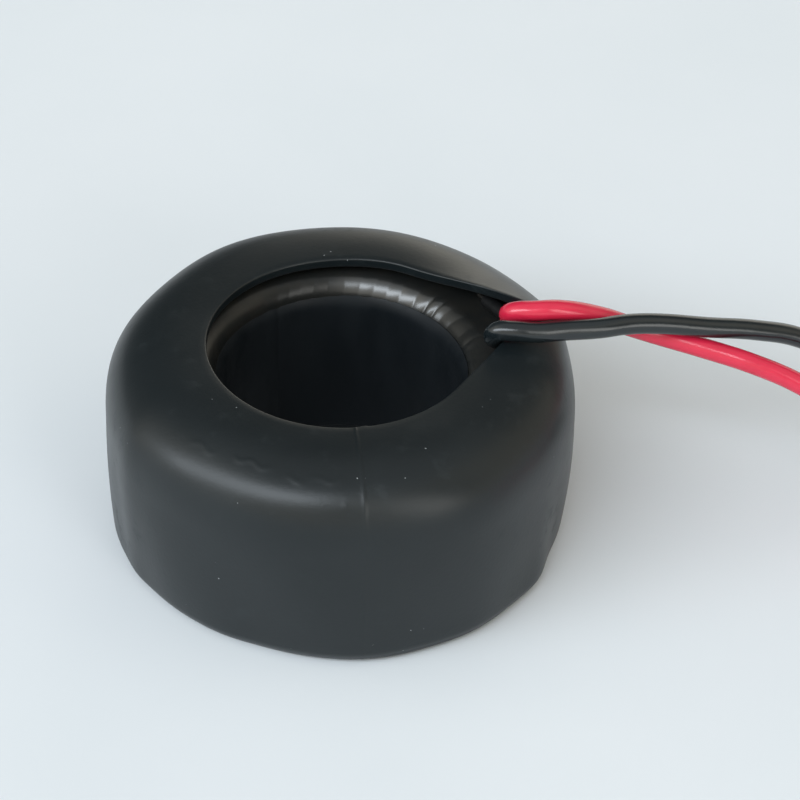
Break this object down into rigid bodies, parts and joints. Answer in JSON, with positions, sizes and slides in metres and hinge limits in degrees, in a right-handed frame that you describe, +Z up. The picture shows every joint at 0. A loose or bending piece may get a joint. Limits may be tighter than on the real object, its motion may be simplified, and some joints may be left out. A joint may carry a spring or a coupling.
{
  "type": "current transformer",
  "caption": "Ring-type current transformer with a heat-shrunk jacket, a pleated tape window and two joined leads, red and black, with tinned ends.",
  "frame": {"origin": "on the window's axis, at the jacket's underside", "axes": "+Z up along the window's axis, from the underside the part stands on to the top face; +X towards the side where the leads leave; +Y completes the right-handed frame"},
  "size_m": [0.0861, 0.0444, 0.0197],
  "materials": {
    "core_strip": "wound strip, satin",
    "case_plastic": "moulded, matt",
    "enamelled_wire": "copper under clear enamel",
    "tape_black": "glossy tape, pleated at the window",
    "film_black": "smooth film",
    "jacket_black": "satin heat-shrink",
    "insulation_red": "soft satin insulation",
    "insulation_black": "soft satin insulation",
    "tinned_metal": "tinned copper strands and solder"
  },
  "bodies": {
    "root": {"core": "core_strip", "core_case": "case_plastic", "core_case_lid": "case_plastic", "secondary_winding": "enamelled_wire", "tape_wrap": "tape_black", "window_liner": "film_black", "jacket": "jacket_black", "joint_red": "tinned_metal", "joint_black": "tinned_metal", "joint_sleeve_red": "jacket_black", "joint_sleeve_black": "jacket_black", "lead_red": "insulation_red", "lead_black": "insulation_black", "coil_red": "insulation_red", "coil_black": "insulation_black", "tinned_end_red": "tinned_metal", "tinned_end_black": "tinned_metal"}
  },
  "joints": []
}
